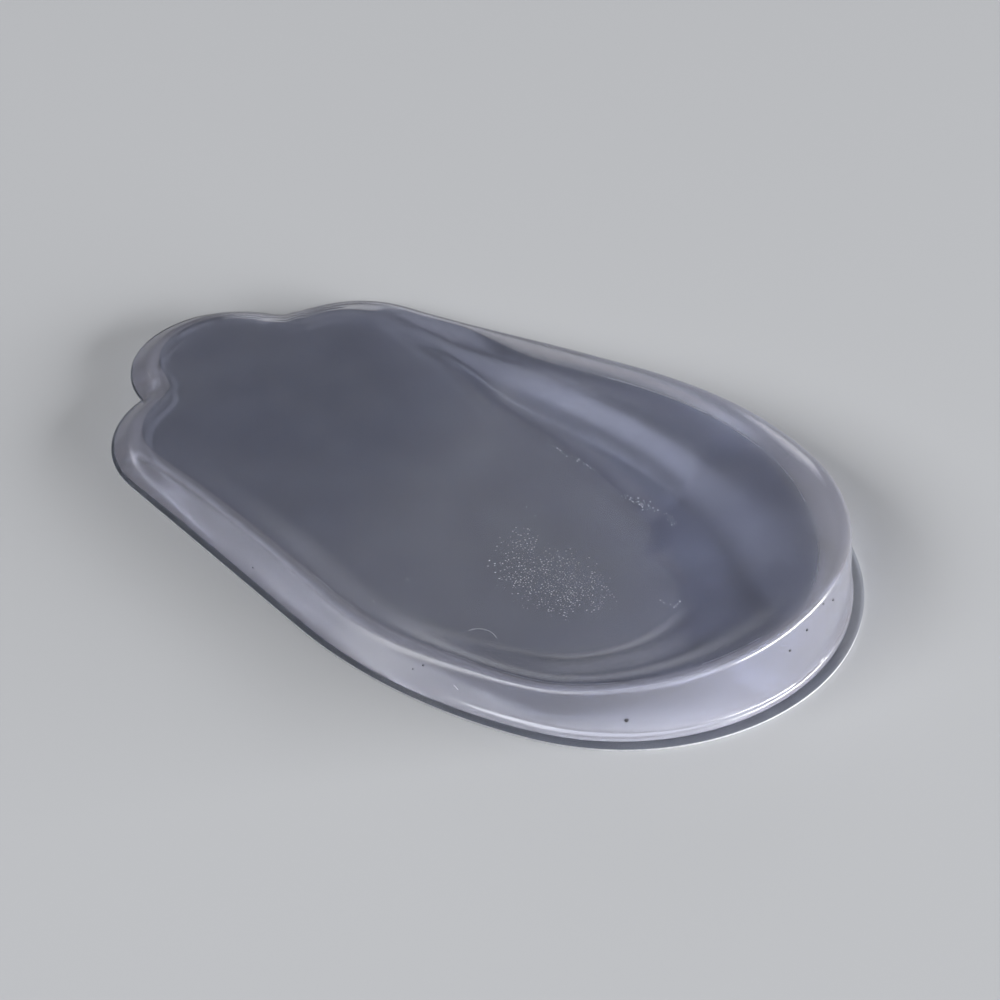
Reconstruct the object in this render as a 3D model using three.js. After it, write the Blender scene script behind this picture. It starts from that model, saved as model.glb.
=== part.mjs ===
// Clear gel heel wedge: a half insole with a raised heel cup, on a thin film base.
// Millimetres, +Z up, +Y from heel to toe, +X to the high side, origin under the middle of the base.
import * as THREE from 'three';
import { mergeVertices } from 'three/addons/utils/BufferGeometryUtils.js';

// Plan outline of the film: arcs and straight sides, alike on both sides of the Y axis
const length = 105.6;
const width = 62;
const heelRadius = 28.7;
const sideRadius = 62;
const sideLean = THREE.MathUtils.degToRad(8.2);
const cornerLobeRadius = 14.6;
const cornerLobeY = 28.6;
const middleLobeRadius = 13.1;
const outlineSteps = { heel: 20, side: 10, flank: 10, cornerLobe: 16, middleLobe: 12 };

// Film, and the gap for the tacky layer that holds the gel to it
const filmThickness = 0.25;
const tackGap = 0.05;
const padBase = filmThickness + tackGap;

// Width of film left showing past the gel's foot, from heel to toe
const flangeTable = [
  { y: -52.8, flange: 1.3 },
  { y: -38, flange: 1.1 },
  { y: -20, flange: 0.8 },
  { y: 28, flange: 0.7 },
  { y: 44, flange: 0.25 },
  { y: 52.8, flange: 0.2 },
];

// Rim height on the low and the high side, from heel to toe: the wedge
const rimTable = [
  { y: -52.8, low: 7.3, high: 11.7 },
  { y: -38, low: 5.7, high: 10.2 },
  { y: -24, low: 4.4, high: 8.7 },
  { y: -12, low: 3.7, high: 7.3 },
  { y: 6, low: 3.8, high: 5.75 },
  { y: 20, low: 3.5, high: 4.4 },
  { y: 32, low: 2.8, high: 3.0 },
  { y: 42, low: 2.35, high: 2.4 },
  { y: 52.8, low: 2.1, high: 2.1 },
];

// Floor of the dish along the middle, and the width of the slope from the rim down to it
const floorTable = [
  { y: -24, height: 3.1 },
  { y: 6, height: 3.5 },
  { y: 32, height: 2.9 },
  { y: 42, height: 2.45 },
  { y: 52.8, height: 2.2 },
];
const slopeWidthAtLeast = 3;
const slopeWidthPerRise = 2.1;

// Outer wall: a bevel along the low front that turns into a steep wall where the rim is high
const bevelRun = 2.6;
const steepRun = 0.6;
const bevelUpTo = 4.0;
const steepFrom = 6.0;
const bevelRound = 1.0;
const steepRound = 1.5;
const beadHeight = 0.85;
const beadStep = 0.35;
const beadShoulder = 0.7;
const roundSteps = 4;

// Rings across the top: steps down the slope, then to the middle line
const slopeSteps = 8;
const flatSteps = 2;
const middleLineBack = -24;
const middleLineFront = 30;

const { lerp, smoothstep, clamp } = THREE.MathUtils;

// Smooth curve through one column of a table, as a function of the place along the insole
function curveOf(table, column) {
  const places = table.map((row) => row.y);
  const values = table.map((row) => row[column]);
  const curve = new THREE.CubicInterpolant(places, values, 1);
  return (y) => curve.evaluate(y)[0];
}

const flangeAt = curveOf(flangeTable, 'flange');
const floorAt = curveOf(floorTable, 'height');
const lowRimAt = curveOf(rimTable, 'low');
const highRimAt = curveOf(rimTable, 'high');

// Right half of the outline, from the back of the heel to the toe tip, as tangent curves
function halfOutline() {
  const heelY = heelRadius - length / 2;
  const sideX = width / 2 - sideRadius;
  const sideY = heelY + Math.sqrt((sideRadius - heelRadius) ** 2 - sideX ** 2);
  const heelEnd = Math.atan2(heelY - sideY, -sideX);
  const flankStart = new THREE.Vector2(Math.cos(sideLean), Math.sin(sideLean))
    .multiplyScalar(sideRadius)
    .add(new THREE.Vector2(sideX, sideY));
  const flankOffset = flankStart.x * Math.cos(sideLean) + flankStart.y * Math.sin(sideLean);
  const lobeX = (flankOffset - cornerLobeRadius - cornerLobeY * Math.sin(sideLean)) / Math.cos(sideLean);
  const lobe = new THREE.Vector2(lobeX, cornerLobeY);
  const middle = new THREE.Vector2(0, length / 2 - middleLobeRadius);
  const notch = circleCrossing(lobe, cornerLobeRadius, middle, middleLobeRadius);
  const flankEnd = new THREE.Vector2(Math.cos(sideLean), Math.sin(sideLean))
    .multiplyScalar(cornerLobeRadius)
    .add(lobe);
  const notchOnLobe = notch.clone().sub(lobe).angle();
  const notchOnMiddle = notch.clone().sub(middle).angle();
  return [
    { steps: outlineSteps.heel, curve: arc(0, heelY, heelRadius, -Math.PI / 2, heelEnd) },
    { steps: outlineSteps.side, curve: arc(sideX, sideY, sideRadius, heelEnd, sideLean) },
    { steps: outlineSteps.flank, curve: new THREE.LineCurve(flankStart, flankEnd) },
    { steps: outlineSteps.cornerLobe, curve: arc(lobe.x, lobe.y, cornerLobeRadius, sideLean, notchOnLobe) },
    { steps: outlineSteps.middleLobe, curve: arc(0, middle.y, middleLobeRadius, notchOnMiddle, Math.PI / 2) },
  ];
}

function arc(x, y, radius, from, to) {
  return new THREE.ArcCurve(x, y, radius, from, to, false);
}

// The outer of the two points where two circles cross
function circleCrossing(first, firstRadius, second, secondRadius) {
  const between = second.clone().sub(first);
  const gap = between.length();
  const reach = (firstRadius ** 2 - secondRadius ** 2 + gap ** 2) / (2 * gap);
  const rise = Math.sqrt(firstRadius ** 2 - reach ** 2);
  const direction = between.normalize();
  const across = new THREE.Vector2(direction.y, -direction.x);
  return first.clone().addScaledVector(direction, reach).addScaledVector(across, rise);
}

// Whole outline, anticlockwise from the back of the heel, with the inward direction at each point
function stations() {
  const right = halfOutline().flatMap(({ steps, curve }) => curve.getPoints(steps).slice(0, -1));
  const toeTip = new THREE.Vector2(0, length / 2);
  const left = right.slice(1).reverse().map((point) => new THREE.Vector2(-point.x, point.y));
  const points = [...right, toeTip, ...left];
  return points.map((point, index) => {
    const before = points.at(index - 1);
    const after = points[(index + 1) % points.length];
    const forward = after.clone().sub(before).normalize();
    return { point, inward: new THREE.Vector2(-forward.y, forward.x) };
  });
}

// Height of the rim at a place on the plan
function rimHeight(x, y) {
  return lerp(lowRimAt(y), highRimAt(y), x / width + 0.5);
}

// Outer wall at one station, from the foot to the crest of the rim, as inset and height pairs
function wallSection(rim, flange) {
  const steepness = smoothstep(rim, bevelUpTo, steepFrom);
  const run = lerp(bevelRun, steepRun, steepness);
  const round = lerp(bevelRound, steepRound, steepness);
  const bead = beadStep * steepness;
  const wallAt = (height) => flange + bead + (run * (height - padBase)) / (rim - padBase);
  const beadTop = padBase + beadHeight;
  const beadSide = padBase + beadHeight * beadShoulder;
  const corner = new THREE.Vector2(wallAt(rim), rim);
  const shoulder = new THREE.Vector2(wallAt(rim - round), rim - round);
  const crest = new THREE.Vector2(corner.x + round, rim);
  const rounding = new THREE.QuadraticBezierCurve(shoulder, corner, crest);
  return [
    new THREE.Vector2(flange, padBase),
    new THREE.Vector2(wallAt(beadSide) - bead, beadSide),
    new THREE.Vector2(wallAt(beadTop), beadTop),
    ...rounding.getPoints(roundSteps),
  ];
}

// Top at one station: from the crest down the slope of the dish, then level to the middle line
function topSection(crest, rim, middle) {
  const rise = rim - floorAt(crest.y);
  const reach = middle.distanceTo(crest);
  const slope = Math.min(slopeWidthAtLeast + slopeWidthPerRise * rise, reach);
  const distances = [];
  for (let step = 1; step <= slopeSteps; step += 1) distances.push((slope * step) / slopeSteps);
  for (let step = 1; step <= flatSteps; step += 1) distances.push(lerp(slope, reach, step / flatSteps));
  return distances.map((distance) => {
    const place = crest.clone().lerp(middle, distance / reach);
    const floor = floorAt(place.y);
    const share = 1 - smoothstep(distance, 0, slope);
    return new THREE.Vector3(place.x, place.y, floor + (rim - floor) * share);
  });
}

// All the points of one station: middle of the base, foot, wall, crest, slope and middle of the top
function padStation({ point, inward }) {
  const flange = flangeAt(point.y);
  const rim = rimHeight(point.x, point.y);
  const middle = new THREE.Vector2(0, clamp(point.y, middleLineBack, middleLineFront));
  const wall = wallSection(rim, flange);
  const wallPoints = wall.map(({ x: inset, y: height }) => {
    const place = point.clone().addScaledVector(inward, inset);
    return new THREE.Vector3(place.x, place.y, height);
  });
  const crest = point.clone().addScaledVector(inward, wall.at(-1).x);
  return [new THREE.Vector3(middle.x, middle.y, padBase), ...wallPoints, ...topSection(crest, rim, middle)];
}

// Closed skin through the stations, with the doubled points on the middle lines merged
function skin(columns) {
  const rows = columns[0].length;
  const positions = columns.flat().flatMap((point) => point.toArray());
  const triangles = [];
  columns.forEach((_, column) => {
    const here = column * rows;
    const next = ((column + 1) % columns.length) * rows;
    for (let row = 0; row < rows - 1; row += 1) {
      triangles.push(here + row, next + row, next + row + 1);
      triangles.push(here + row, next + row + 1, here + row + 1);
    }
  });
  const geometry = new THREE.BufferGeometry();
  geometry.setAttribute('position', new THREE.Float32BufferAttribute(positions, 3));
  geometry.setIndex(triangles);
  return withoutFlatTriangles(mergeVertices(geometry));
}

function withoutFlatTriangles(geometry) {
  const index = Array.from(geometry.index.array);
  const kept = [];
  for (let first = 0; first < index.length; first += 3) {
    const corners = index.slice(first, first + 3);
    if (new Set(corners).size === 3) kept.push(...corners);
  }
  geometry.setIndex(kept);
  geometry.computeVertexNormals();
  return geometry;
}

function gelPad() {
  const material = new THREE.MeshStandardMaterial({ color: 0xd3dbe8, roughness: 0.12, metalness: 0 });
  const mesh = new THREE.Mesh(skin(stations().map(padStation)), material);
  mesh.name = 'gel_pad';
  return mesh;
}

function baseFilm() {
  const outline = new THREE.Shape(stations().map(({ point }) => point));
  const geometry = new THREE.ExtrudeGeometry(outline, { depth: filmThickness, bevelEnabled: false });
  const material = new THREE.MeshStandardMaterial({ color: 0xe6eaf0, roughness: 0.08, metalness: 0 });
  const mesh = new THREE.Mesh(geometry, material);
  mesh.name = 'base_film';
  return mesh;
}

const insole = new THREE.Group();
insole.add(baseFilm(), gelPad());

export default insole;
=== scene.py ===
import math

import bpy
import numpy as np
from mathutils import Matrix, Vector


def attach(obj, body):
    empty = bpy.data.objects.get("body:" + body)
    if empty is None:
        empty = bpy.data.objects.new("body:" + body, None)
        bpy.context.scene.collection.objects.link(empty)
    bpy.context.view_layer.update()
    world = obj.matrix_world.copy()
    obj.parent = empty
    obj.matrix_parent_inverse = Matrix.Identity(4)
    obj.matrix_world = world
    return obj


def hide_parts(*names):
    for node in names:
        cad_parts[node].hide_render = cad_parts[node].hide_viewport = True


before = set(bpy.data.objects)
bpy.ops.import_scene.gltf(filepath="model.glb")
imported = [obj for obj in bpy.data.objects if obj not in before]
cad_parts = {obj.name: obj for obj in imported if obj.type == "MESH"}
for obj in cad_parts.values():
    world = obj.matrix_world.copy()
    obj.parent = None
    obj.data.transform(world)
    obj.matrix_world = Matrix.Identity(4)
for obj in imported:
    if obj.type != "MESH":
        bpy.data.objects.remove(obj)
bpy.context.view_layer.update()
print("frame loaded:", sorted(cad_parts))

mm = 0.001
scene = bpy.context.scene


# small helpers for node trees

def feed(tree, socket, value):  # links a socket or a Value, or sets a plain value
    if isinstance(value, Value):
        value = value.socket
    if isinstance(value, bpy.types.NodeSocket):
        tree.links.new(value, socket)
    else:
        socket.default_value = value


def addNode(tree, kind, inputs=None, **settings):
    node = tree.nodes.new(kind)
    for name, value in settings.items():
        setattr(node, name, value)
    for name, value in (inputs or {}).items():
        feed(tree, node.inputs[name], value)
    return node


class Value:  # a number in a node tree, so that sums of nodes read as sums

    def __init__(self, tree, socket):
        self.tree = tree
        self.socket = socket

    def calc(self, operation, *others):
        node = addNode(self.tree, "ShaderNodeMath", operation=operation)
        for socket, term in zip(node.inputs, (self, *others)):
            feed(self.tree, socket, term)
        return Value(self.tree, node.outputs[0])

    def __add__(self, other):
        return self.calc("ADD", other)

    def __sub__(self, other):
        return self.calc("SUBTRACT", other)

    def __mul__(self, other):
        return self.calc("MULTIPLY", other)

    def __truediv__(self, other):
        return self.calc("DIVIDE", other)

    def __pow__(self, other):
        return self.calc("POWER", other)

    def mix(self, low, high):  # low where this is 0, high where it is 1
        return (high - low) * self + low

    def ramp(self, low, high, smooth=False):  # 0 at low to 1 at high, held at both ends
        kind = "SMOOTHSTEP" if smooth else "LINEAR"
        node = addNode(self.tree, "ShaderNodeMapRange", interpolation_type=kind)
        feed(self.tree, node.inputs["Value"], self)
        feed(self.tree, node.inputs["From Min"], low)
        feed(self.tree, node.inputs["From Max"], high)
        return Value(self.tree, node.outputs["Result"])


def split(tree, vector):  # a vector's three numbers
    parts = addNode(tree, "ShaderNodeSeparateXYZ", {"Vector": vector}).outputs
    return [Value(tree, part) for part in parts]


def noise(tree, place, size, detail=2.0):  # soft random field from 0 to 1, with lumps of the given size
    node = addNode(tree, "ShaderNodeTexNoise", {"Vector": place, "Detail": detail})
    feed(tree, node.inputs["Scale"], size ** -1)
    return Value(tree, node.outputs["Fac"])


def chance(tree, place, seed):  # a random number from 0 to 1 for each point
    node = addNode(tree, "ShaderNodeTexWhiteNoise", {"Vector": place, "W": seed}, noise_dimensions="4D")
    return Value(tree, node.outputs["Value"])


socketKinds = {int: "NodeSocketInt", float: "NodeSocketFloat", bpy.types.Object: "NodeSocketObject"}


def newGeometryTree(name, sizes):  # a tree with a named input for each size
    tree = bpy.data.node_groups.new(name, "GeometryNodeTree")
    tree.interface.new_socket("Geometry", in_out="INPUT", socket_type="NodeSocketGeometry")
    tree.interface.new_socket("Geometry", in_out="OUTPUT", socket_type="NodeSocketGeometry")
    for words, size in sizes.items():
        tree.interface.new_socket(words, in_out="INPUT", socket_type=socketKinds[type(size)])
    given = tree.nodes.new("NodeGroupInput").outputs
    out = tree.nodes.new("NodeGroupOutput").inputs["Geometry"]
    return tree, given, out


def grow(name, startMesh, tree, sizes):  # runs a tree on a mesh and keeps the result as a plain mesh
    worker = bpy.data.objects.new(name, startMesh)
    scene.collection.objects.link(worker)
    modifier = worker.modifiers.new(name, "NODES")
    modifier.node_group = tree
    for item in tree.interface.items_tree:
        if item.in_out == "INPUT" and item.name in sizes:
            modifier[item.identifier] = sizes[item.name]
    evaluated = worker.evaluated_get(bpy.context.evaluated_depsgraph_get())
    mesh = bpy.data.meshes.new_from_object(evaluated)
    mesh.name = name
    bpy.data.objects.remove(worker)
    piece = bpy.data.objects.new(name, mesh)
    scene.collection.objects.link(piece)
    print(name, "made:", len(mesh.polygons), "faces")
    return piece


def smoothTable(rows, column, places):  # smooth curve through a table's column, by place along the insole
    known = np.array([row["y"] for row in rows])
    values = np.array([row[column] for row in rows])
    slopes = np.gradient(values, known)
    places = np.clip(places, known[0], known[-1])
    low = np.clip(np.searchsorted(known, places) - 1, 0, len(known) - 2)
    gap = known[low + 1] - known[low]
    t = (places - known[low]) / gap
    rise = values[low + 1] - values[low]
    a = slopes[low] * gap - rise
    b = rise - slopes[low + 1] * gap
    return values[low] + t * rise + t * (1 - t) * (a * (1 - t) + b * t)


# the outline that the gel and the film share

outline = {
    "length": 105.6 * mm,
    "width": 62 * mm,
    "heelRadius": 28.7 * mm,
    "sideRadius": 62 * mm,
    "sideLean": math.radians(8.2),
    "cornerLobeRadius": 14.6 * mm,
    "cornerLobeY": 28.6 * mm,
    "middleLobeRadius": 13.1 * mm,
    "pointGap": 0.45 * mm,
}


def arcPoints(centre, radius, start, end):
    count = max(2, round(radius * abs(end - start) / outline["pointGap"]))
    turn = np.linspace(start, end, count + 1)[:-1]
    return np.stack([centre[0] + radius * np.cos(turn), centre[1] + radius * np.sin(turn)], axis=1)


def linePoints(start, end):
    count = max(2, round(math.dist(start, end) / outline["pointGap"]))
    return np.linspace(start, end, count + 1)[:-1]


def outlinePoints():  # anticlockwise from the back of the heel
    lean = outline["sideLean"]
    heel = (0, outline["heelRadius"] - outline["length"] / 2)
    sideX = outline["width"] / 2 - outline["sideRadius"]
    sideY = heel[1] + math.sqrt((outline["sideRadius"] - outline["heelRadius"]) ** 2 - sideX ** 2)
    heelEnd = math.atan2(heel[1] - sideY, -sideX)
    outward = np.array([math.cos(lean), math.sin(lean)])
    flankStart = np.array([sideX, sideY]) + outline["sideRadius"] * outward
    lobeReach = flankStart @ outward - outline["cornerLobeRadius"]
    lobeX = (lobeReach - outline["cornerLobeY"] * outward[1]) / outward[0]
    lobe = np.array([lobeX, outline["cornerLobeY"]])
    flankEnd = lobe + outline["cornerLobeRadius"] * outward
    middle = np.array([0, outline["length"] / 2 - outline["middleLobeRadius"]])
    between = middle - lobe
    gap = np.hypot(*between)
    reach = (outline["cornerLobeRadius"] ** 2 - outline["middleLobeRadius"] ** 2 + gap ** 2) / (2 * gap)
    rise = math.sqrt(outline["cornerLobeRadius"] ** 2 - reach ** 2)
    notch = lobe + between / gap * reach + np.array([between[1], -between[0]]) / gap * rise
    lobeEnd = math.atan2(*(notch - lobe)[::-1])
    middleStart = math.atan2(*(notch - middle)[::-1])
    right = np.concatenate([
        arcPoints(heel, outline["heelRadius"], -math.pi / 2, heelEnd),
        arcPoints((sideX, sideY), outline["sideRadius"], heelEnd, lean),
        linePoints(flankStart, flankEnd),
        arcPoints(lobe, outline["cornerLobeRadius"], lean, lobeEnd),
        arcPoints(middle, outline["middleLobeRadius"], middleStart, math.pi / 2),
    ])
    tip = np.array([[0, outline["length"] / 2]])
    left = right[:0:-1] * (-1, 1)
    return np.concatenate([right, tip, left])


# gel pad: the outline's stations carry the rim's height, and the tree sweeps the section round them

gelPad = {
    "Base height": 0.3 * mm,
    "Bevel run": 2.6 * mm,
    "Steep run": 0.6 * mm,
    "Bevel up to": 4.0 * mm,
    "Steep from": 6.0 * mm,
    "Bevel round": 1.0 * mm,
    "Near round": 1.1 * mm,
    "Far round": 5.5 * mm,
    "Near round rise": 1.1 * mm,
    "Far round rise": 2.2 * mm,
    "Bead height": 0.85 * mm,
    "Bead step": 0.35 * mm,
    "Bead wave": 0.2,
    "Bead wave length": 1.4 * mm,
    "Slope width": 3.0 * mm,
    "Slope per rise": 2.1,
    "Crease in from crest": 4.9 * mm,
    "Crease width": 0.45 * mm,
    "Crease height": 0.012 * mm,
    "Middle back": -24.0 * mm,
    "Middle front": 30.0 * mm,
    "Wall rows": 40,
    "Top rows": 100,
}
padForm = {  # shares of a section's parts, and the places where forms fade in
    "beadEnd": 0.3,
    "straightEnd": 0.6,
    "slopeEnd": 0.75,
    "beadBulge": 4,
    # where the walls' pale colour, partly haze and partly painted glow, is full and where it ends
    "hazeAndGlowFull": 0.2,
    "hazeAndGlowNone": 0.8,
    "farFrom": -2 * mm,
    "farTo": 27 * mm,
    "creaseX": (10 * mm, 22 * mm),
    "creaseY": (-6 * mm, -16 * mm),
    "sharpAngle": math.radians(30),
}
mergeGap = 0.001 * mm
notchNub = {"x": 12.9, "y": 43.0, "reach": 0.6, "width": 0.7}  # mm, a small lump of gel in the far notch
flangeRows = [
    {"y": -52.8, "flange": 1.3},
    {"y": -38, "flange": 1.1},
    {"y": -20, "flange": 0.8},
    {"y": 28, "flange": 0.7},
    {"y": 44, "flange": 0.25},
    {"y": 52.8, "flange": 0.2},
]
rimRows = [
    {"y": -52.8, "low": 7.3, "high": 11.7},
    {"y": -38, "low": 5.7, "high": 10.7},
    {"y": -24, "low": 4.4, "high": 9.25},
    {"y": -12, "low": 3.7, "high": 7.85},
    {"y": 6, "low": 3.8, "high": 6.05},
    {"y": 20, "low": 3.5, "high": 4.4},
    {"y": 32, "low": 2.8, "high": 3.0},
    {"y": 42, "low": 2.35, "high": 2.4},
    {"y": 52.8, "low": 2.1, "high": 2.1},
]
dishFloor = {
    "height": 3.1 * mm,
    "archRise": 0.4 * mm,
    "archFrom": -24 * mm,
    "archTo": 6 * mm,
    "toeDrop": 1.4 * mm,
    "toeFrom": 8 * mm,
    "toeTo": 60 * mm,
}


def stationRing():  # the outline as a ring of points that carry their own section sizes
    points = outlinePoints()
    forward = np.roll(points, -1, axis=0) - np.roll(points, 1, axis=0)
    forward /= np.linalg.norm(forward, axis=1, keepdims=True)
    along = points[:, 1] / mm
    across = points[:, 0] / outline["width"] + 0.5
    low = smoothTable(rimRows, "low", along)
    high = smoothTable(rimRows, "high", along)
    nubAway = np.hypot(points[:, 0] / mm - notchNub["x"], along - notchNub["y"])
    nub = notchNub["reach"] * np.exp(-(nubAway / notchNub["width"]) ** 2)
    count = len(points)
    mesh = bpy.data.meshes.new("stations")
    edges = [(i, (i + 1) % count) for i in range(count)]
    mesh.from_pydata([(x, y, 0) for x, y in points], edges, [])
    columns = {
        "inwardX": -forward[:, 1],
        "inwardY": forward[:, 0],
        "rim": (low + (high - low) * across) * mm,
        "flange": (smoothTable(flangeRows, "flange", along) - nub) * mm,
    }
    for name, values in columns.items():
        mesh.attributes.new(name, "FLOAT", "POINT").data.foreach_set("value", values)
    return mesh


def gelPadTree(material):
    tree, given, out = newGeometryTree("gel pad sweep", gelPad)
    size = {words: Value(tree, given[words]) for words in gelPad}
    ring = given["Geometry"]
    domain = addNode(tree, "GeometryNodeAttributeDomainSize", {"Geometry": ring})
    count = Value(tree, domain.outputs["Point Count"])
    gridX, gridY, _ = split(tree, addNode(tree, "GeometryNodeInputPosition").outputs[0])
    t = gridY + 0.5
    column = ((gridX + 0.5) * count).calc("ROUND").calc("FLOORED_MODULO", count)

    def station(socket, kind="FLOAT"):  # a station's own value, read by every grid point of its column
        node = addNode(tree, "GeometryNodeSampleIndex", {"Geometry": ring}, data_type=kind)
        feed(tree, node.inputs["Value"], socket)
        feed(tree, node.inputs["Index"], column)
        return node.outputs["Value"]

    def stationNumber(name):
        node = addNode(tree, "GeometryNodeInputNamedAttribute", {"Name": name}, data_type="FLOAT")
        return Value(tree, station(node.outputs["Attribute"]))

    point = station(addNode(tree, "GeometryNodeInputPosition").outputs[0], "FLOAT_VECTOR")
    x, y, _ = split(tree, point)
    inwardX = stationNumber("inwardX")
    inwardY = stationNumber("inwardY")
    rim = stationNumber("rim")
    flange = stationNumber("flange")
    base = size["Base height"]
    steep = rim.ramp(size["Bevel up to"], size["Steep from"], smooth=True)
    run = steep.mix(size["Bevel run"], size["Steep run"])
    far = x.ramp(padForm["farFrom"], padForm["farTo"], smooth=True)
    roundRun = steep.mix(size["Bevel round"], far.mix(size["Near round"], size["Far round"]))
    roundRise = steep.mix(size["Bevel round"], far.mix(size["Near round rise"], size["Far round rise"]))
    bead = steep * size["Bead step"]
    lean = run / (rim - base)
    middleY = y.calc("MAXIMUM", size["Middle back"]).calc("MINIMUM", size["Middle front"])

    def sheet(rows, px, py, pz):  # a grid of stations by rows, put in its place
        grid = addNode(tree, "GeometryNodeMeshGrid", {"Size X": 1.0, "Size Y": 1.0})
        feed(tree, grid.inputs["Vertices X"], count + 1)
        feed(tree, grid.inputs["Vertices Y"], rows)
        spot = addNode(tree, "ShaderNodeCombineXYZ")
        for socket, value in zip(spot.inputs, (px, py, pz)):
            feed(tree, socket, value)
        placed = addNode(tree, "GeometryNodeSetPosition", {"Geometry": grid.outputs["Mesh"]})
        feed(tree, placed.inputs["Position"], spot.outputs[0])
        return placed

    def marked(name, part, value):  # a number kept on each point, for the finish to read
        node = addNode(tree, "GeometryNodeStoreNamedAttribute", {"Name": name}, data_type="FLOAT")
        feed(tree, node.inputs["Geometry"], part.outputs[0])
        feed(tree, node.inputs["Value"], value)
        return node

    # underside, from the middle line out to the foot
    under = sheet(2, (x + inwardX * flange) * t, t.mix(middleY, y + inwardY * flange), base)

    # wall: foot bead with an uneven top, straight stretch, then the rounding up to the crest
    wave = (noise(tree, point, size["Bead wave length"]) - 0.5) * size["Bead wave"] + 1
    beadHeight = size["Bead height"] * wave
    beadPart = t.ramp(0.0, padForm["beadEnd"])
    straightPart = t.ramp(padForm["beadEnd"], padForm["straightEnd"])
    roundPart = t.ramp(padForm["straightEnd"], 1.0)
    turned = roundPart * 2 - roundPart * roundPart
    height = base + beadPart * beadHeight
    height = height + straightPart * (rim - roundRise - base - beadHeight)
    inset = flange + beadPart ** padForm["beadBulge"] * bead + (height - base + turned * roundRise) * lean
    inset = inset + roundPart * roundPart * roundRun
    wall = sheet(size["Wall rows"], x + inwardX * inset, y + inwardY * inset, height + turned * roundRise)
    # the walls get a pale colour that fades out over the rounding: partly the gel's haze, partly painted
    # glow of the lit walls and rim
    hazeAndGlow = roundPart.ramp(padForm["hazeAndGlowNone"], padForm["hazeAndGlowFull"], smooth=True)
    side = marked("side", wall, hazeAndGlow)

    # top: from the crest down into the dish, then level to the middle line
    crest = flange + bead + run + roundRun
    crestX = x + inwardX * crest
    crestY = y + inwardY * crest
    reach = (crestX * crestX + (crestY - middleY) * (crestY - middleY)).calc("SQRT")
    slope = (rim - dishFloor["height"]) * size["Slope per rise"] + size["Slope width"]
    slope = slope.calc("MINIMUM", reach)
    slopePart = t.ramp(0.0, padForm["slopeEnd"])
    levelPart = t.ramp(padForm["slopeEnd"], 1.0)
    distance = (slope * slopePart + (reach - slope) * levelPart) / reach
    topY = distance.mix(crestY, middleY)
    arch = topY.ramp(dishFloor["archFrom"], dishFloor["archTo"], smooth=True) * dishFloor["archRise"]
    drop = topY.ramp(dishFloor["toeFrom"], dishFloor["toeTo"], smooth=True) * dishFloor["toeDrop"]
    floor = arch - drop + dishFloor["height"]
    creaseAway = (slope * slopePart - size["Crease in from crest"]) / size["Crease width"]
    creaseHere = x.ramp(*padForm["creaseX"], smooth=True) * y.ramp(*padForm["creaseY"], smooth=True)
    crease = (creaseAway * creaseAway + 1) ** -2 * creaseHere * size["Crease height"]
    topZ = slopePart.ramp(0.0, 1.0, smooth=True).mix(rim, floor) + crease
    top = sheet(size["Top rows"], (distance * -1 + 1) * crestX, topY, topZ)
    dish = marked("dish", top, slopePart)

    joined = addNode(tree, "GeometryNodeJoinGeometry")
    for part in (dish, side, under):
        tree.links.new(part.outputs[0], joined.inputs[0])
    merged = addNode(tree, "GeometryNodeMergeByDistance", {"Geometry": joined.outputs[0]})
    merged.inputs["Distance"].default_value = mergeGap
    smooth = addNode(tree, "GeometryNodeSetShadeSmooth", {"Geometry": merged.outputs[0]}, domain="FACE")
    angle = addNode(tree, "GeometryNodeInputMeshEdgeAngle").outputs["Unsigned Angle"]
    sharp = Value(tree, angle).calc("GREATER_THAN", padForm["sharpAngle"])
    crisp = addNode(tree, "GeometryNodeSetShadeSmooth", {"Geometry": smooth.outputs[0]}, domain="EDGE")
    feed(tree, crisp.inputs["Selection"], sharp)
    crisp.inputs["Shade Smooth"].default_value = False
    real = addNode(tree, "GeometryNodeRealizeInstances", {"Geometry": crisp.outputs[0]})
    painted = addNode(tree, "GeometryNodeSetMaterial", {"Geometry": real.outputs[0], "Material": material})
    tree.links.new(painted.outputs[0], out)
    return tree


# base film: the outline filled, and given its thickness

baseFilm = {
    "Thickness": 0.25 * mm,
}


def baseFilmTree(material, cutMaterial):
    tree, given, out = newGeometryTree("film cut", baseFilm)
    loop = addNode(tree, "GeometryNodeMeshToCurve", {"Mesh": given["Geometry"]})
    filled = addNode(tree, "GeometryNodeFillCurve", {"Curve": loop.outputs[0]}, mode="NGONS")
    raised = addNode(tree, "GeometryNodeExtrudeMesh", {"Mesh": filled.outputs[0]}, mode="FACES")
    feed(tree, raised.inputs["Offset Scale"], given["Thickness"])
    flipped = addNode(tree, "GeometryNodeFlipFaces", {"Mesh": filled.outputs[0]})
    joined = addNode(tree, "GeometryNodeJoinGeometry")
    tree.links.new(raised.outputs["Mesh"], joined.inputs[0])
    tree.links.new(flipped.outputs[0], joined.inputs[0])
    merged = addNode(tree, "GeometryNodeMergeByDistance", {"Geometry": joined.outputs[0]})
    merged.inputs["Distance"].default_value = mergeGap
    real = addNode(tree, "GeometryNodeRealizeInstances", {"Geometry": merged.outputs[0]})
    painted = addNode(tree, "GeometryNodeSetMaterial", {"Geometry": real.outputs[0], "Material": material})
    # the film's cut edge takes the pale frost finish: partly its matte cut, partly a painted bright edge
    # line
    edged = addNode(tree, "GeometryNodeSetMaterial", {"Geometry": painted.outputs[0]})
    feed(tree, edged.inputs["Material"], cutMaterial)
    feed(tree, edged.inputs["Selection"], raised.outputs["Side"])
    tree.links.new(edged.outputs[0], out)
    return tree


# finishes

def newMaterial(name):
    material = bpy.data.materials.new(name)
    material.use_nodes = True
    tree = material.node_tree
    tree.nodes.clear()
    output = tree.nodes.new("ShaderNodeOutputMaterial")
    return material, tree, output


grainDetail = 1.0
cloudDetail = 4.0
cloudRange = (0.35, 0.65)


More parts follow.
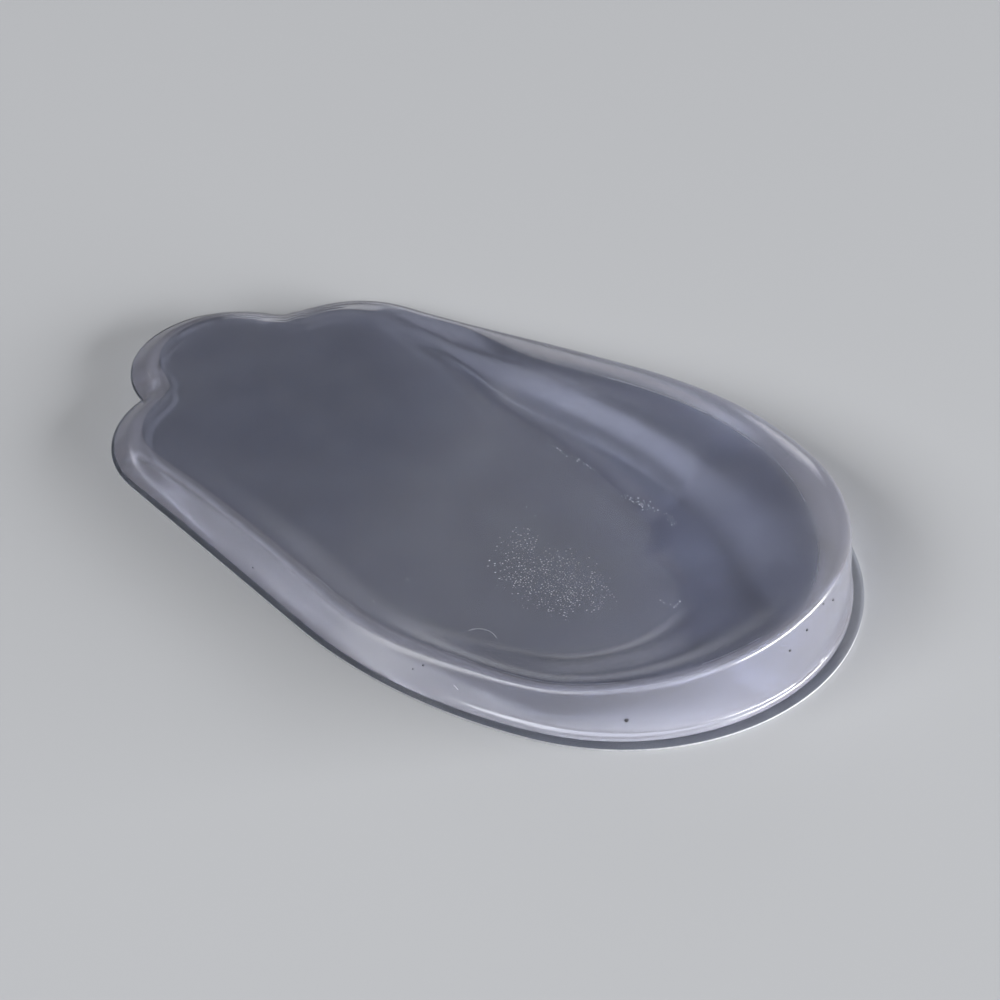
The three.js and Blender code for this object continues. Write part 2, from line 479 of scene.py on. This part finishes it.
def mouldGrainGroup():  # fine grain and soft clouding left by the mould, for every clear finish
    group = bpy.data.node_groups.new("mould grain", "ShaderNodeTree")
    group.interface.new_socket("Place", in_out="INPUT", socket_type="NodeSocketVector")
    for name in ("Grain size", "Cloud size"):
        group.interface.new_socket(name, in_out="INPUT", socket_type="NodeSocketFloat")
    for name in ("Grain", "Cloud"):
        group.interface.new_socket(name, in_out="OUTPUT", socket_type="NodeSocketFloat")
    given = group.nodes.new("NodeGroupInput").outputs
    out = group.nodes.new("NodeGroupOutput").inputs
    feed(group, out["Grain"], noise(group, given["Place"], Value(group, given["Grain size"]), grainDetail))
    cloud = noise(group, given["Place"], Value(group, given["Cloud size"]), cloudDetail)
    feed(group, out["Cloud"], cloud.ramp(*cloudRange, smooth=True))
    return group


mouldGrain = mouldGrainGroup()


def grainOf(tree, sizes):  # the grain and the cloud of a finish, and the place on the piece
    place = addNode(tree, "ShaderNodeTexCoord").outputs["Object"]
    node = addNode(tree, "ShaderNodeGroup", node_tree=mouldGrain)
    feed(tree, node.inputs["Place"], place)
    feed(tree, node.inputs["Grain size"], sizes["grain"])
    feed(tree, node.inputs["Cloud size"], sizes["cloud"])
    return Value(tree, node.outputs["Grain"]), Value(tree, node.outputs["Cloud"]), place


def tintBetween(tree, amount, low, high):  # colour that goes from low to high with the amount
    node = addNode(tree, "ShaderNodeMix", data_type="RGBA")
    colors = [socket for socket in node.inputs if socket.type == "RGBA"]
    feed(tree, node.inputs["Factor"], amount)
    feed(tree, colors[0], low)
    feed(tree, colors[1], high)
    return [socket for socket in node.outputs if socket.type == "RGBA"][0]


def finishWith(tree, output, shader, color, roughness, height, depth):
    feed(tree, shader.inputs["Base Color"], color)
    feed(tree, shader.inputs["Roughness"], roughness)
    bump = addNode(tree, "ShaderNodeBump", {"Strength": 1.0, "Distance": depth})
    feed(tree, bump.inputs["Height"], height)
    feed(tree, shader.inputs["Normal"], bump.outputs[0])
    tree.links.new(shader.outputs[0], output.inputs["Surface"])


clearGel = {
    "shader": {"IOR": 1.41, "Transmission Weight": 0.89},
    "clear": (0.69, 0.715, 0.82, 1),
    "clouded": (0.63, 0.655, 0.77, 1),
    # pale wall colour: partly the gel's haze, partly painted glow
    "hazeAndGlow": (0.93, 0.92, 1.0, 1),
    "deep": {"Color": (0.55, 0.6, 0.75, 1), "Density": 60.0},
    "grain": 0.42 * mm,
    "cloud": 9 * mm,
    "depth": 0.016 * mm,
    "smooth": 0.09,
    "cloudedMore": 0.02,
    "satinMore": 0.15,
    "heelFrom": 26 * mm,
    "heelTo": -8 * mm,
    "grainAtToe": 0.12,
    "grainOnSide": 0.3,
    "sideMore": 0.12,
    "satinFrom": 0.12,
    "satinTo": 0.5,
    "flatUpTo": 0.31 * mm,
    "grainFrom": 0.403 * mm,
}


def clearGelFinish():  # smooth at the front, finely grained in the heel dish, satin on the outer wall; the wall's paler colour is partly the gel's haze and partly painted glow
    material, tree, output = newMaterial("clear gel")
    shader = addNode(tree, "ShaderNodeBsdfPrincipled", clearGel["shader"])
    grain, cloud, place = grainOf(tree, clearGel)
    heel = split(tree, place)[1].ramp(clearGel["heelFrom"], clearGel["heelTo"], smooth=True)
    above = split(tree, place)[2].ramp(clearGel["flatUpTo"], clearGel["grainFrom"])
    dish = Value(tree, addNode(tree, "ShaderNodeAttribute", attribute_name="dish").outputs["Fac"])
    side = Value(tree, addNode(tree, "ShaderNodeAttribute", attribute_name="side").outputs["Fac"])
    color = tintBetween(tree, cloud, clearGel["clear"], clearGel["clouded"])
    # pale colour on the walls: partly haze, partly painted glow
    color = tintBetween(tree, side, color, clearGel["hazeAndGlow"])
    satin = heel * dish.ramp(clearGel["satinFrom"], clearGel["satinTo"], smooth=True)
    rougher = cloud * clearGel["cloudedMore"] + satin * clearGel["satinMore"] + side * clearGel["sideMore"]
    coarse = satin * (1 - clearGel["grainAtToe"]) + clearGel["grainAtToe"]
    coarse = coarse.calc("MAXIMUM", side * clearGel["grainOnSide"]) * above
    roughness = (rougher + clearGel["smooth"]) * above
    finishWith(tree, output, shader, color, roughness, grain * coarse, clearGel["depth"])
    deep = addNode(tree, "ShaderNodeVolumeAbsorption", clearGel["deep"])
    tree.links.new(deep.outputs[0], output.inputs["Volume"])
    return material


tintedFilm = {
    "shader": {"IOR": 1.45, "Transmission Weight": 1.0},
    "face": (0.72, 0.74, 0.8, 1),
    "clouded": (0.67, 0.69, 0.75, 1),
    "grain": 0.5 * mm,
    "cloud": 7 * mm,
    "depth": 0.002 * mm,
    "smooth": 0.05,
    "cloudedMore": 0.05,
}


def tintedFilmFinish():  # clear, with a faint cool tint
    material, tree, output = newMaterial("tinted film")
    shader = addNode(tree, "ShaderNodeBsdfPrincipled", tintedFilm["shader"])
    grain, cloud, _ = grainOf(tree, tintedFilm)
    color = tintBetween(tree, cloud, tintedFilm["face"], tintedFilm["clouded"])
    roughness = cloud * tintedFilm["cloudedMore"] + tintedFilm["smooth"]
    finishWith(tree, output, shader, color, roughness, grain, tintedFilm["depth"])
    return material


frost = {
    "shader": {"IOR": 1.41, "Transmission Weight": 0.6},
    "pale": (0.8, 0.82, 0.88, 1),
    "bright": (0.95, 0.96, 1.0, 1),
    "grain": 0.05 * mm,
    "cloud": 0.6 * mm,
    "depth": 0.01 * mm,
    "smooth": 0.3,
    "cloudedMore": 0.2,
}


def frostFinish():  # flecks, scratches and the film's cut edge, which scatter light; on the cut edge the pale colour is partly a painted bright edge line
    material, tree, output = newMaterial("frost")
    shader = addNode(tree, "ShaderNodeBsdfPrincipled", frost["shader"])
    grain, cloud, _ = grainOf(tree, frost)
    color = tintBetween(tree, cloud, frost["pale"], frost["bright"])
    roughness = cloud * frost["cloudedMore"] + frost["smooth"]
    finishWith(tree, output, shader, color, roughness, grain, frost["depth"])
    return material


grit = {
    "shader": {"Specular IOR Level": 0.4},
    "dark": (0.01, 0.011, 0.015, 1),
    "dusty": (0.05, 0.05, 0.06, 1),
    "grain": 0.06 * mm,
    "cloud": 0.15 * mm,
    "depth": 0.01 * mm,
    "smooth": 0.45,
    "cloudedMore": 0.2,
}


def gritFinish():  # dark specks caught in the wall
    material, tree, output = newMaterial("dark grit")
    shader = addNode(tree, "ShaderNodeBsdfPrincipled", grit["shader"])
    grain, cloud, _ = grainOf(tree, grit)
    color = tintBetween(tree, cloud, grit["dark"], grit["dusty"])
    roughness = cloud * grit["cloudedMore"] + grit["smooth"]
    finishWith(tree, output, shader, color, roughness, grain, grit["depth"])
    return material


# frosted flecks: scattered over a few fields of the top

frostFlecks = {
    "Gap": 0.25 * mm,
    "Length": 0.11 * mm,
    "Width": 0.055 * mm,
    "Height": 0.025 * mm,
    "Clump size": 2.2 * mm,
    "Seed": 7,
}
fleckSpread = {
    "fadeFrom": 0.3,
    "clumpRange": (0.2, 0.55),
    "leastFull": 0.01,
    "leastUp": 0.6,
    "crowding": 2,
    "smallest": 0.5,
}
fleckFields = [  # centre and half sizes in mm, turn in degrees, and how full the middle is
    {"x": -7.5, "y": -21.5, "across": 6.5, "along": 9.5, "turn": 0, "fill": 1.0},
    {"x": -5.5, "y": -15.0, "across": 4.0, "along": 4.5, "turn": 0, "fill": 0.7},
    {"x": 11.3, "y": -8.0, "across": 0.5, "along": 5.0, "turn": 0, "fill": 0.9},
    {"x": 9.8, "y": -20.0, "across": 0.9, "along": 4.0, "turn": 0, "fill": 0.8},
    {"x": 9.0, "y": -25.2, "across": 0.45, "along": 2.6, "turn": -27, "fill": 1.0},
    {"x": 0.7, "y": -11.4, "across": 1.6, "along": 2.6, "turn": 0, "fill": 0.25},
    {"x": -1.6, "y": -34.0, "across": 1.2, "along": 2.0, "turn": 0, "fill": 0.3},
    {"x": -19.0, "y": -9.2, "across": 0.8, "along": 0.9, "turn": 0, "fill": 0.4},
    {"x": -24.2, "y": -8.4, "across": 0.9, "along": 1.2, "turn": 0, "fill": 0.25},
]


def frostFlecksTree(material):
    tree, given, out = newGeometryTree("frosted flecks", frostFlecks)
    size = {words: Value(tree, given[words]) for words in frostFlecks}
    position = addNode(tree, "GeometryNodeInputPosition").outputs[0]
    x, y, _ = split(tree, position)
    up = split(tree, addNode(tree, "GeometryNodeInputNormal").outputs[0])[2]
    fullness = None
    for field in fleckFields:
        turn = math.radians(field["turn"])
        dx = x - field["x"] * mm
        dy = y - field["y"] * mm
        across = (dx * math.cos(turn) + dy * math.sin(turn)) / (field["across"] * mm)
        along = (dy * math.cos(turn) - dx * math.sin(turn)) / (field["along"] * mm)
        away = (across * across + along * along).calc("SQRT")
        here = away.ramp(1.0, fleckSpread["fadeFrom"], smooth=True) * field["fill"]
        fullness = fullness.calc("MAXIMUM", here) if fullness else here
    patchy = noise(tree, position, size["Clump size"]).ramp(*fleckSpread["clumpRange"])
    skin = addNode(tree, "GeometryNodeSeparateGeometry", {"Geometry": given["Geometry"]}, domain="FACE")
    inField = fullness.calc("GREATER_THAN", fleckSpread["leastFull"])
    feed(tree, skin.inputs["Selection"], inField * up.calc("GREATER_THAN", fleckSpread["leastUp"]))
    spots = addNode(tree, "GeometryNodeDistributePointsOnFaces", distribute_method="POISSON")
    feed(tree, spots.inputs["Mesh"], skin.outputs["Selection"])
    feed(tree, spots.inputs["Distance Min"], size["Gap"])
    feed(tree, spots.inputs["Density Max"], size["Gap"] ** -2 * fleckSpread["crowding"])
    feed(tree, spots.inputs["Density Factor"], fullness * patchy)
    feed(tree, spots.inputs["Seed"], size["Seed"])
    spin = addNode(tree, "FunctionNodeAxisAngleToRotation", {"Axis": (0, 0, 1)})
    feed(tree, spin.inputs["Angle"], chance(tree, position, size["Seed"]) * math.tau)
    turned = addNode(tree, "FunctionNodeRotateRotation", rotation_space="LOCAL")
    feed(tree, turned.inputs["Rotation"], spots.outputs["Rotation"])
    feed(tree, turned.inputs["Rotate By"], spin.outputs[0])
    grown = chance(tree, position, size["Seed"] + 1) ** 2 + fleckSpread["smallest"]
    sizes = addNode(tree, "ShaderNodeCombineXYZ")
    for socket, words in zip(sizes.inputs, ("Length", "Width", "Height")):
        feed(tree, socket, size[words] * grown)
    fleck = addNode(tree, "GeometryNodeMeshIcoSphere", {"Radius": 1.0, "Subdivisions": 1})
    copies = addNode(tree, "GeometryNodeInstanceOnPoints")
    feed(tree, copies.inputs["Points"], spots.outputs["Points"])
    feed(tree, copies.inputs["Instance"], fleck.outputs["Mesh"])
    feed(tree, copies.inputs["Rotation"], turned.outputs[0])
    feed(tree, copies.inputs["Scale"], sizes.outputs[0])
    real = addNode(tree, "GeometryNodeRealizeInstances", {"Geometry": copies.outputs[0]})
    painted = addNode(tree, "GeometryNodeSetMaterial", {"Geometry": real.outputs[0], "Material": material})
    tree.links.new(painted.outputs[0], out)
    return tree


def nearestSkin(tree, gel):  # the nearest place on the gel's skin
    skin = addNode(tree, "GeometryNodeObjectInfo", {"Object": gel}).outputs["Geometry"]
    near = addNode(tree, "GeometryNodeProximity", target_element="FACES")
    tree.links.new(skin, near.inputs[0])
    return near.outputs["Position"]


# fine scratches: short lines laid on the skin

scratches = {
    "Thickness": 0.025 * mm,
    "Sides": 6,
}
scratchArcs = [  # mm and degrees: centre, radius and sweep on the plan, and the height to start from
    {"x": -21.0, "y": -22.0, "z": 3.1, "radius": 2.0, "start": -35, "end": 75},
    {"x": -31.0, "y": -22.0, "z": 2.2, "radius": 4.4, "start": -44, "end": -32},
]
scratchSteps = 24


def scratchLines():
    mesh = bpy.data.meshes.new("scratch lines")
    points, edges = [], []
    for arc in scratchArcs:
        first = len(points)
        for turn in np.radians(np.linspace(arc["start"], arc["end"], scratchSteps)):
            x = arc["x"] + arc["radius"] * math.cos(turn)
            y = arc["y"] + arc["radius"] * math.sin(turn)
            points.append((x * mm, y * mm, arc["z"] * mm))
        edges += [(i, i + 1) for i in range(first, len(points) - 1)]
    mesh.from_pydata(points, edges, [])
    return mesh


def scratchesTree(material, sizes):
    tree, given, out = newGeometryTree("scratches on the skin", sizes)
    lines = addNode(tree, "GeometryNodeSetPosition", {"Geometry": given["Geometry"]})
    feed(tree, lines.inputs["Position"], nearestSkin(tree, given["Gel"]))
    path = addNode(tree, "GeometryNodeMeshToCurve", {"Mesh": lines.outputs[0]})
    section = addNode(tree, "GeometryNodeCurvePrimitiveCircle", {"Resolution": given["Sides"]})
    feed(tree, section.inputs["Radius"], given["Thickness"])
    tube = addNode(tree, "GeometryNodeCurveToMesh", {"Curve": path.outputs[0], "Fill Caps": True})
    feed(tree, tube.inputs["Profile Curve"], section.outputs[0])
    real = addNode(tree, "GeometryNodeRealizeInstances", {"Geometry": tube.outputs[0]})
    painted = addNode(tree, "GeometryNodeSetMaterial", {"Geometry": real.outputs[0], "Material": material})
    tree.links.new(painted.outputs[0], out)
    return tree


# dark grit: single specks half sunk in the skin of the wall

gritSpecks = {
    "Lumps": 1.4,
    "Least reach": 0.5,
}
gritPlaces = [  # mm
    {"x": -19.9, "y": -42.3, "z": 2.9, "radius": 0.22},
    {"x": 0.4, "y": -50.7, "z": 7.4, "radius": 0.14},
    {"x": -2.5, "y": -50.6, "z": 6.3, "radius": 0.13},
    {"x": 6.1, "y": -50.0, "z": 7.7, "radius": 0.13},
    {"x": 3.7, "y": -50.3, "z": 8.8, "radius": 0.1},
    {"x": 2.6, "y": -50.3, "z": 9.0, "radius": 0.08},
    {"x": -28.5, "y": -19.1, "z": 2.2, "radius": 0.1},
    {"x": -27.9, "y": -20.1, "z": 2.9, "radius": 0.12},
    {"x": -27.3, "y": 7.5, "z": 1.3, "radius": 0.1},
]


def gritPoints():
    mesh = bpy.data.meshes.new("grit points")
    mesh.from_pydata([(spot["x"] * mm, spot["y"] * mm, spot["z"] * mm) for spot in gritPlaces], [], [])
    radii = [spot["radius"] * mm for spot in gritPlaces]
    mesh.attributes.new("radius", "FLOAT", "POINT").data.foreach_set("value", radii)
    return mesh


def gritSpecksTree(material, sizes):
    tree, given, out = newGeometryTree("grit in the skin", sizes)
    size = addNode(tree, "GeometryNodeInputNamedAttribute", {"Name": "radius"})
    settled = addNode(tree, "GeometryNodeSetPosition", {"Geometry": given["Geometry"]})
    feed(tree, settled.inputs["Position"], nearestSkin(tree, given["Gel"]))
    ball = addNode(tree, "GeometryNodeMeshIcoSphere", {"Radius": 1.0, "Subdivisions": 3})
    lumps = addNode(tree, "GeometryNodeSetPosition", {"Geometry": ball.outputs["Mesh"]})
    place = addNode(tree, "GeometryNodeInputPosition").outputs[0]
    lump = addNode(tree, "ShaderNodeTexNoise", {"Vector": place, "Scale": given["Lumps"]}).outputs["Fac"]
    outward = addNode(tree, "ShaderNodeVectorMath", {0: place}, operation="SCALE")
    feed(tree, outward.inputs["Scale"], Value(tree, lump) + given["Least reach"])
    feed(tree, lumps.inputs["Position"], outward.outputs[0])
    copies = addNode(tree, "GeometryNodeInstanceOnPoints", {"Points": settled.outputs[0]})
    feed(tree, copies.inputs["Instance"], lumps.outputs[0])
    feed(tree, copies.inputs["Scale"], size.outputs["Attribute"])
    real = addNode(tree, "GeometryNodeRealizeInstances", {"Geometry": copies.outputs[0]})
    painted = addNode(tree, "GeometryNodeSetMaterial", {"Geometry": real.outputs[0], "Material": material})
    tree.links.new(painted.outputs[0], out)
    return tree


# make the pieces

ring = stationRing()
pad = grow("gelPad", ring.copy(), gelPadTree(clearGelFinish()), gelPad)
frostMaterial = frostFinish()
film = grow("baseFilm", ring.copy(), baseFilmTree(tintedFilmFinish(), frostMaterial), baseFilm)
flecks = grow("frostFlecks", pad.data.copy(), frostFlecksTree(frostMaterial), frostFlecks)
scratches["Gel"] = pad
lines = grow("scratches", scratchLines(), scratchesTree(frostMaterial, scratches), scratches)
gritSpecks["Gel"] = pad
specks = grow("gritSpecks", gritPoints(), gritSpecksTree(gritFinish(), gritSpecks), gritSpecks)
for piece, slot in ((pad, "gel"), (film, "film"), (flecks, "gel"), (lines, "gel"), (specks, "gel")):
    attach(piece, "root")
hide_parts("gel_pad")
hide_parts("base_film")

# floor, lights and camera

studio = {
    "floorSize": 3.0,
    "floorDrop": 0.05 * mm,
    "floor": {"Base Color": (0.52, 0.53, 0.55, 1), "Roughness": 0.9, "Specular IOR Level": 0.0},
    "roomColor": (0.4, 0.42, 0.46, 1),
    "roomStrength": 0.05,
}
boxDistance = 2.0
softBoxes = [  # all in metres, watts and degrees
    {"name": "side", "width": 2.0, "height": 0.8, "azimuth": -101, "elevation": 33, "watts": 40},
    {"name": "front", "width": 2.0, "height": 0.44, "azimuth": 26, "elevation": 7, "watts": 152},
    {"name": "rim", "width": 0.36, "height": 0.4, "azimuth": 115, "elevation": 14, "watts": 1.6},
    {"name": "crest", "width": 0.48, "height": 0.6, "azimuth": 134, "elevation": 17, "watts": 1.8},
    {"name": "high", "width": 0.6, "height": 0.5, "azimuth": 154, "elevation": 54, "watts": 1.3},
    {"name": "sheen", "width": 1.0, "height": 0.8, "azimuth": 115, "elevation": 40, "watts": 2.4},
]
photoCamera = {
    "aim": (2.464 * mm, -4.175 * mm, 0),
    "azimuth": -48.17,
    "elevation": 37.75,
    "distance": 309.2 * mm,
    "angle": 22.0,
    "clipStart": 10 * mm,
}


def around(azimuth, elevation):  # a direction from the insole, in the same angles as the camera's
    a = math.radians(azimuth)
    e = math.radians(elevation)
    return Vector((math.sin(a) * math.cos(e), -math.cos(a) * math.cos(e), math.sin(e)))


def buildFloor():
    side = studio["floorSize"] / 2
    mesh = bpy.data.meshes.new("floor")
    corners = [(-side, -side), (side, -side), (side, side), (-side, side)]
    mesh.from_pydata([(x, y, -studio["floorDrop"]) for x, y in corners], [], [(0, 1, 2, 3)])
    material, tree, output = newMaterial("pale floor")
    shader = addNode(tree, "ShaderNodeBsdfPrincipled", studio["floor"])
    tree.links.new(shader.outputs[0], output.inputs["Surface"])
    mesh.materials.append(material)
    floor = bpy.data.objects.new("floor", mesh)
    scene.collection.objects.link(floor)


def buildLights():
    world = bpy.data.worlds.new("room")
    world.use_nodes = True
    scene.world = world
    background = world.node_tree.nodes["Background"]
    background.inputs["Color"].default_value = studio["roomColor"]
    background.inputs["Strength"].default_value = studio["roomStrength"]
    scene.view_settings.view_transform = "Standard"  # keeps the photo's contrast
    for box in softBoxes:
        lamp = bpy.data.lights.new(box["name"], "AREA")
        lamp.shape = "RECTANGLE"
        lamp.size = box["width"]
        lamp.size_y = box["height"]
        lamp.energy = box["watts"]
        light = bpy.data.objects.new(box["name"], lamp)
        back = around(box["azimuth"], box["elevation"])
        light.location = back * boxDistance
        light.rotation_euler = (-back).to_track_quat("-Z", "Y").to_euler()
        scene.collection.objects.link(light)


def buildCamera():
    lens = bpy.data.cameras.new("camera")
    lens.angle = math.radians(photoCamera["angle"])
    lens.clip_start = photoCamera["clipStart"]
    camera = bpy.data.objects.new("camera", lens)
    back = around(photoCamera["azimuth"], photoCamera["elevation"])
    camera.location = Vector(photoCamera["aim"]) + back * photoCamera["distance"]
    camera.rotation_euler = (-back).to_track_quat("-Z", "Y").to_euler()
    scene.collection.objects.link(camera)
    scene.camera = camera


buildFloor()
buildLights()
buildCamera()
print("floor, lights and camera set:", len(softBoxes), "soft boxes")
